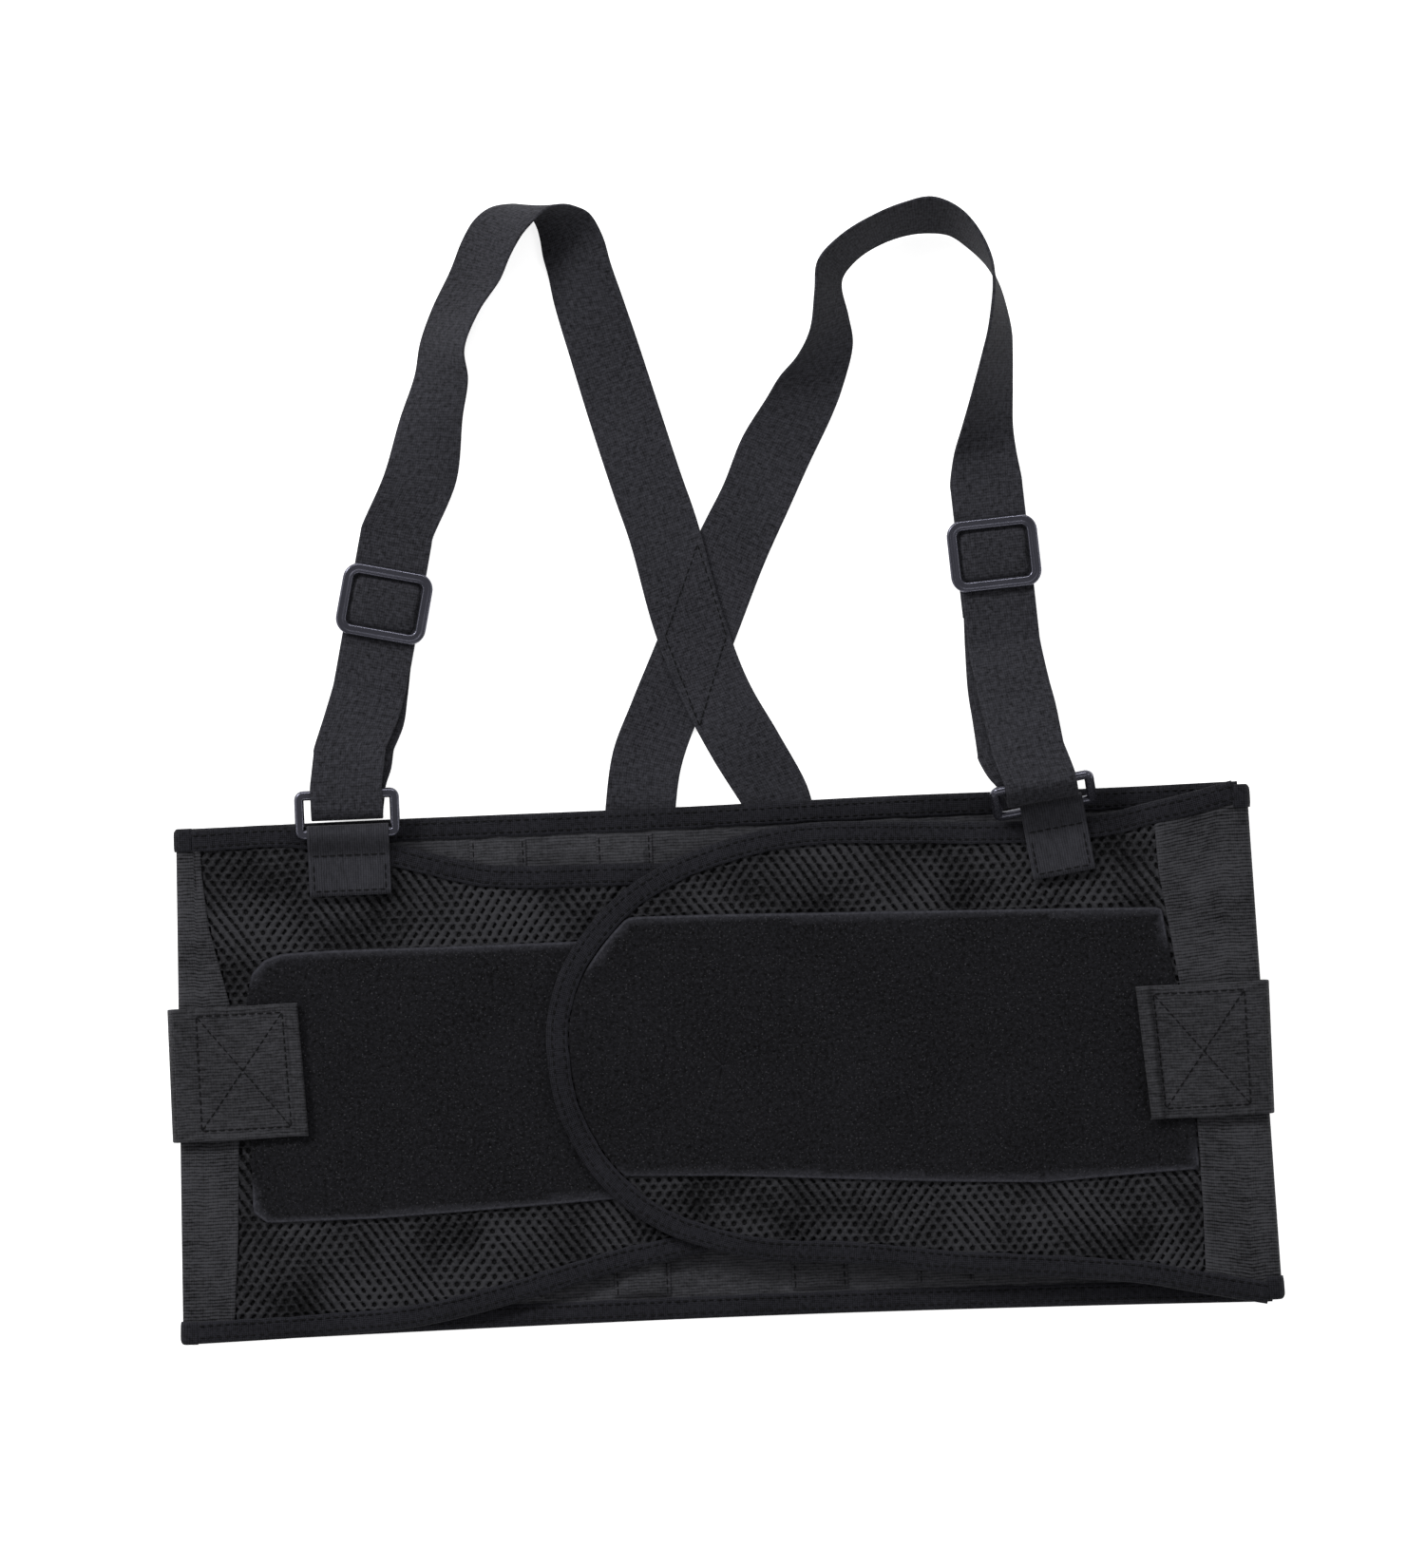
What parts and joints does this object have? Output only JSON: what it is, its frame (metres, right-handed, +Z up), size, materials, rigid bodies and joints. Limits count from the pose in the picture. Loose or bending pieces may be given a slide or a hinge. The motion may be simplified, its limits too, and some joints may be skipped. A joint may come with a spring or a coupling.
{
  "type": "back brace",
  "caption": "Lumbar support brace with crossed elastic suspenders, overlapping hook-and-loop front panels and side pull straps, laid flat and closed.",
  "frame": {"origin": "centre of the back panel, on the surface the brace lies on", "axes": "+Z up out of the table, +Y from the hip edge towards the shoulders, +X towards the side of the upper (outer) front panel"},
  "size_m": [0.4719, 0.4839, 0.0356],
  "materials": {
    "ribbed_elastic": "ribbed woven elastic, matt",
    "side_elastic": "open ribbed elastic, matt",
    "spacer_mesh": "knitted spacer mesh with small diamond holes",
    "velvet_loop": "brushed loop pile, soft sheen",
    "binding_tape": "woven binding tape, stitched",
    "webbing": "woven suspender elastic, matt",
    "hook": "hook tape",
    "buckle_plastic": "moulded acetal, satin gloss",
    "stay": "flexible strip inside its pocket"
  },
  "bodies": {
    "back": {"back_panel": "ribbed_elastic", "back_top_binding": "binding_tape", "back_bottom_binding": "binding_tape", "stay_pocket_1": "ribbed_elastic", "stay_pocket_2": "ribbed_elastic", "stay_pocket_3": "ribbed_elastic", "stay_pocket_4": "ribbed_elastic", "stay_1": "stay", "stay_2": "stay", "stay_3": "stay", "stay_4": "stay", "anchor_patch": "webbing", "left_pull_band": "side_elastic", "right_pull_band": "side_elastic", "left_back_strap": "webbing", "right_back_strap": "webbing"},
    "left_front": {"left_front_panel": "spacer_mesh", "left_edge_binding": "binding_tape", "left_loop_field": "velvet_loop", "left_side_elastic": "side_elastic", "left_pull_wrap": "side_elastic", "left_ring_tab": "webbing", "left_front_strap": "webbing", "left_inner_strap": "webbing"},
    "left_tab": {"left_pull_tab": "side_elastic", "left_tab_hook": "hook"},
    "left_buckle": {"left_slider": "buckle_plastic", "left_strap_end": "webbing"},
    "left_link": {"left_ring": "buckle_plastic", "left_strap_loop": "webbing"},
    "right_front": {"right_front_panel": "spacer_mesh", "right_edge_binding": "binding_tape", "right_loop_field": "velvet_loop", "right_side_elastic": "side_elastic", "right_pull_wrap": "side_elastic", "right_ring_tab": "webbing", "right_front_strap": "webbing", "right_inner_strap": "webbing", "right_closure_hook": "hook"},
    "right_tab": {"right_pull_tab": "side_elastic", "right_tab_hook": "hook"},
    "right_buckle": {"right_slider": "buckle_plastic", "right_strap_end": "webbing"},
    "right_link": {"right_ring": "buckle_plastic", "right_strap_loop": "webbing"}
  },
  "joints": [
    {"name": "left_front_open", "type": "hinge", "parent": "back", "child": "left_front", "pos_m": [-0.2298, 0, 0.006], "axis": [0, 1, 0], "range_deg": [-75, 0], "deforming": ["left_side_elastic", "left_pull_wrap"]},
    {"name": "right_front_open", "type": "hinge", "parent": "back", "child": "right_front", "pos_m": [0.2298, 0, 0.0082], "axis": [0, -1, 0], "range_deg": [-150, 0], "deforming": ["right_side_elastic", "right_pull_wrap"]},
    {"name": "left_tab_peel", "type": "hinge", "parent": "left_front", "child": "left_tab", "pos_m": [-0.2298, 0.005, 0.0129], "axis": [0, -1, 0], "range_deg": [0, 120], "deforming": ["left_pull_wrap"]},
    {"name": "right_tab_peel", "type": "hinge", "parent": "right_front", "child": "right_tab", "pos_m": [0.2288, -0.002, 0.0173], "axis": [0, 1, 0], "range_deg": [0, 120], "deforming": ["right_pull_wrap"]},
    {"name": "left_buckle_slide", "type": "slide", "parent": "left_front", "child": "left_buckle", "axis": [0.2164, 0.9763, 0], "range_m": [-0.01, 0.01]},
    {"name": "right_buckle_slide", "type": "slide", "parent": "right_front", "child": "right_buckle", "axis": [-0.0698, 0.9976, 0], "range_m": [-0.01, 0.01]},
    {"name": "left_ring_lift", "type": "hinge", "parent": "left_front", "child": "left_link", "pos_m": [-0.1555, 0.1056, 0.0143], "axis": [1, 0, 0], "range_deg": [0, 35]},
    {"name": "right_ring_lift", "type": "hinge", "parent": "right_front", "child": "right_link", "pos_m": [0.1453, 0.1043, 0.0187], "axis": [0.989, 0.1478, 0], "range_deg": [0, 35]}
  ],
  "couplings": [
    {"joint": "left_front_open", "follows": "right_front_open", "ratio": 0.5}
  ]
}
